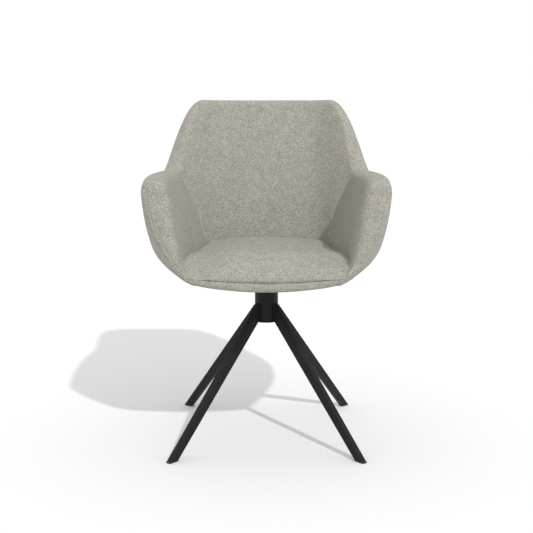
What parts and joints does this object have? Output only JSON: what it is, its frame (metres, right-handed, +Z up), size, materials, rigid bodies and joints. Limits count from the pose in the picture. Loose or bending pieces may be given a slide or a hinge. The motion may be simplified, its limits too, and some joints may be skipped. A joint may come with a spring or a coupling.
{
  "type": "swivel dining chair",
  "caption": "Upholstered tub chair with wrap-round arms and low rounded back, padded seat, and a swivel column on a splayed four-leg black steel base",
  "frame": {"origin": "on the floor, on the swivel axis, midway between the four legs", "axes": "+Z up, the sitter faces -Y, +X to the sitter's left"},
  "size_m": [0.5924, 0.6109, 0.8481],
  "materials": {
    "black_steel": "satin",
    "zinc_steel": "satin",
    "bearing_plastic": "matte",
    "glide_plastic": "matte",
    "cap_plastic": "satin",
    "plywood": "matte",
    "foam": "matte",
    "boucle_fabric": "matte",
    "liner_fabric": "matte"
  },
  "bodies": {
    "base": {"leg_front_left": "black_steel", "leg_front_right": "black_steel", "leg_rear_left": "black_steel", "leg_rear_right": "black_steel", "glide_front_left": "glide_plastic", "glide_front_right": "glide_plastic", "glide_rear_left": "glide_plastic", "glide_rear_right": "glide_plastic", "column_tube": "black_steel", "column_bottom_cap": "cap_plastic", "lower_bush": "bearing_plastic", "upper_bush": "bearing_plastic", "thrust_washer": "bearing_plastic"},
    "seat": {"swivel_spindle": "zinc_steel", "retaining_ring": "zinc_steel", "swivel_hub": "black_steel", "mounting_plate": "black_steel", "plate_bolt_front_left": "zinc_steel", "plate_bolt_front_right": "zinc_steel", "plate_bolt_rear_left": "zinc_steel", "plate_bolt_rear_right": "zinc_steel", "plate_washer_front_left": "zinc_steel", "plate_washer_front_right": "zinc_steel", "plate_washer_rear_left": "zinc_steel", "plate_washer_rear_right": "zinc_steel", "tee_nut_front_left": "zinc_steel", "tee_nut_front_right": "zinc_steel", "tee_nut_rear_left": "zinc_steel", "tee_nut_rear_right": "zinc_steel", "seat_shell": "plywood", "seat_pan": "plywood", "pan_screw_1": "zinc_steel", "pan_screw_2": "zinc_steel", "pan_screw_3": "zinc_steel", "pan_screw_4": "zinc_steel", "arm_foam_left": "foam", "arm_foam_right": "foam", "back_foam": "foam", "seat_foam": "foam", "front_rail": "plywood", "arm_cover_left": "boucle_fabric", "arm_cover_right": "boucle_fabric", "back_cover": "boucle_fabric", "seat_cover": "boucle_fabric", "front_rail_cover": "boucle_fabric", "bottom_liner": "liner_fabric"}
  },
  "joints": [
    {"name": "seat_swivel", "type": "hinge", "parent": "base", "child": "seat", "pos_m": [0, 0, 0.375], "axis": [0, 0, 1], "continuous": true}
  ]
}
